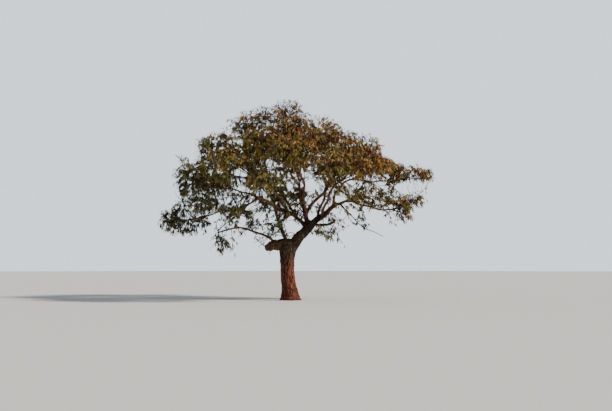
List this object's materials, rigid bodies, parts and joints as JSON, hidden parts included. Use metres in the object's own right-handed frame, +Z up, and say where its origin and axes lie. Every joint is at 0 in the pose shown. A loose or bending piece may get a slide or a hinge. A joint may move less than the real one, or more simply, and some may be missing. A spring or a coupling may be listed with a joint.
{
  "type": "acacia tree",
  "caption": "Open savanna acacia with a short leaning trunk, flared foot, broken stump at the fork, crooked spreading boughs and drooping tufts of leaves in autumn tints.",
  "frame": {"origin": "middle of the flat cut under the trunk, at ground level", "axes": "+Z up the trunk, +X along the crown's longest extent, to the right in the picture, +Y to the back of the tree"},
  "size_m": [8.5498, 7.7596, 6.4476],
  "materials": {
    "trunk_bark": "rough, deeply furrowed rust-brown bark",
    "bough_bark": "rough grey-brown bark",
    "leaves_olive": "matt olive-green leaves on thin twigs",
    "leaves_ochre": "matt ochre-yellow leaves on thin twigs",
    "leaves_rust": "matt rust-orange leaves on thin twigs"
  },
  "bodies": {
    "root": {"trunk": "trunk_bark", "stump": "bough_bark", "fork_limb": "bough_bark", "leader": "bough_bark", "right_elbow": "bough_bark", "right_reach": "bough_bark", "right_fan": "bough_bark", "right_high": "bough_bark", "crown_stem": "bough_bark", "upper_right": "bough_bark", "centre_high": "bough_bark", "left_high": "bough_bark", "left_drop": "bough_bark", "left_far": "bough_bark", "left_mid": "bough_bark", "left_inner": "bough_bark", "left_top": "bough_bark", "left_low": "bough_bark", "right_stub": "bough_bark", "bare_twig": "bough_bark", "front_left": "bough_bark", "front_mid": "bough_bark", "front_right": "bough_bark", "back_left": "bough_bark", "back_mid": "bough_bark", "back_right": "bough_bark", "elbow_mass": "leaves_ochre", "right_low_mass": "leaves_ochre", "right_droop_mass": "leaves_ochre", "far_right_mass": "leaves_rust", "centre_mass": "leaves_olive", "right_crown_mass": "leaves_rust", "right_front_mass": "leaves_rust", "right_rear_mass": "leaves_rust", "top_mass": "leaves_rust", "top_right_mass": "leaves_rust", "top_left_mass": "leaves_rust", "left_inner_mass": "leaves_olive", "left_crown_mass": "leaves_ochre", "left_mid_mass": "leaves_olive", "left_rear_mass": "leaves_olive", "far_left_mass": "leaves_olive", "left_front_mass": "leaves_olive", "left_low_mass": "leaves_olive", "left_under_mass": "leaves_olive", "front_left_mass": "leaves_olive", "front_low_left_mass": "leaves_olive", "front_high_left_mass": "leaves_ochre", "front_mid_mass": "leaves_ochre", "front_top_mass": "leaves_rust", "front_top_right_mass": "leaves_rust", "front_low_right_mass": "leaves_ochre", "front_right_mass": "leaves_ochre", "back_left_mass": "leaves_ochre", "back_low_left_mass": "leaves_ochre", "back_mid_mass": "leaves_rust", "back_right_mass": "leaves_rust", "back_low_right_mass": "leaves_rust", "stub_mass": "leaves_olive", "stump_mass": "leaves_olive"}
  },
  "joints": []
}
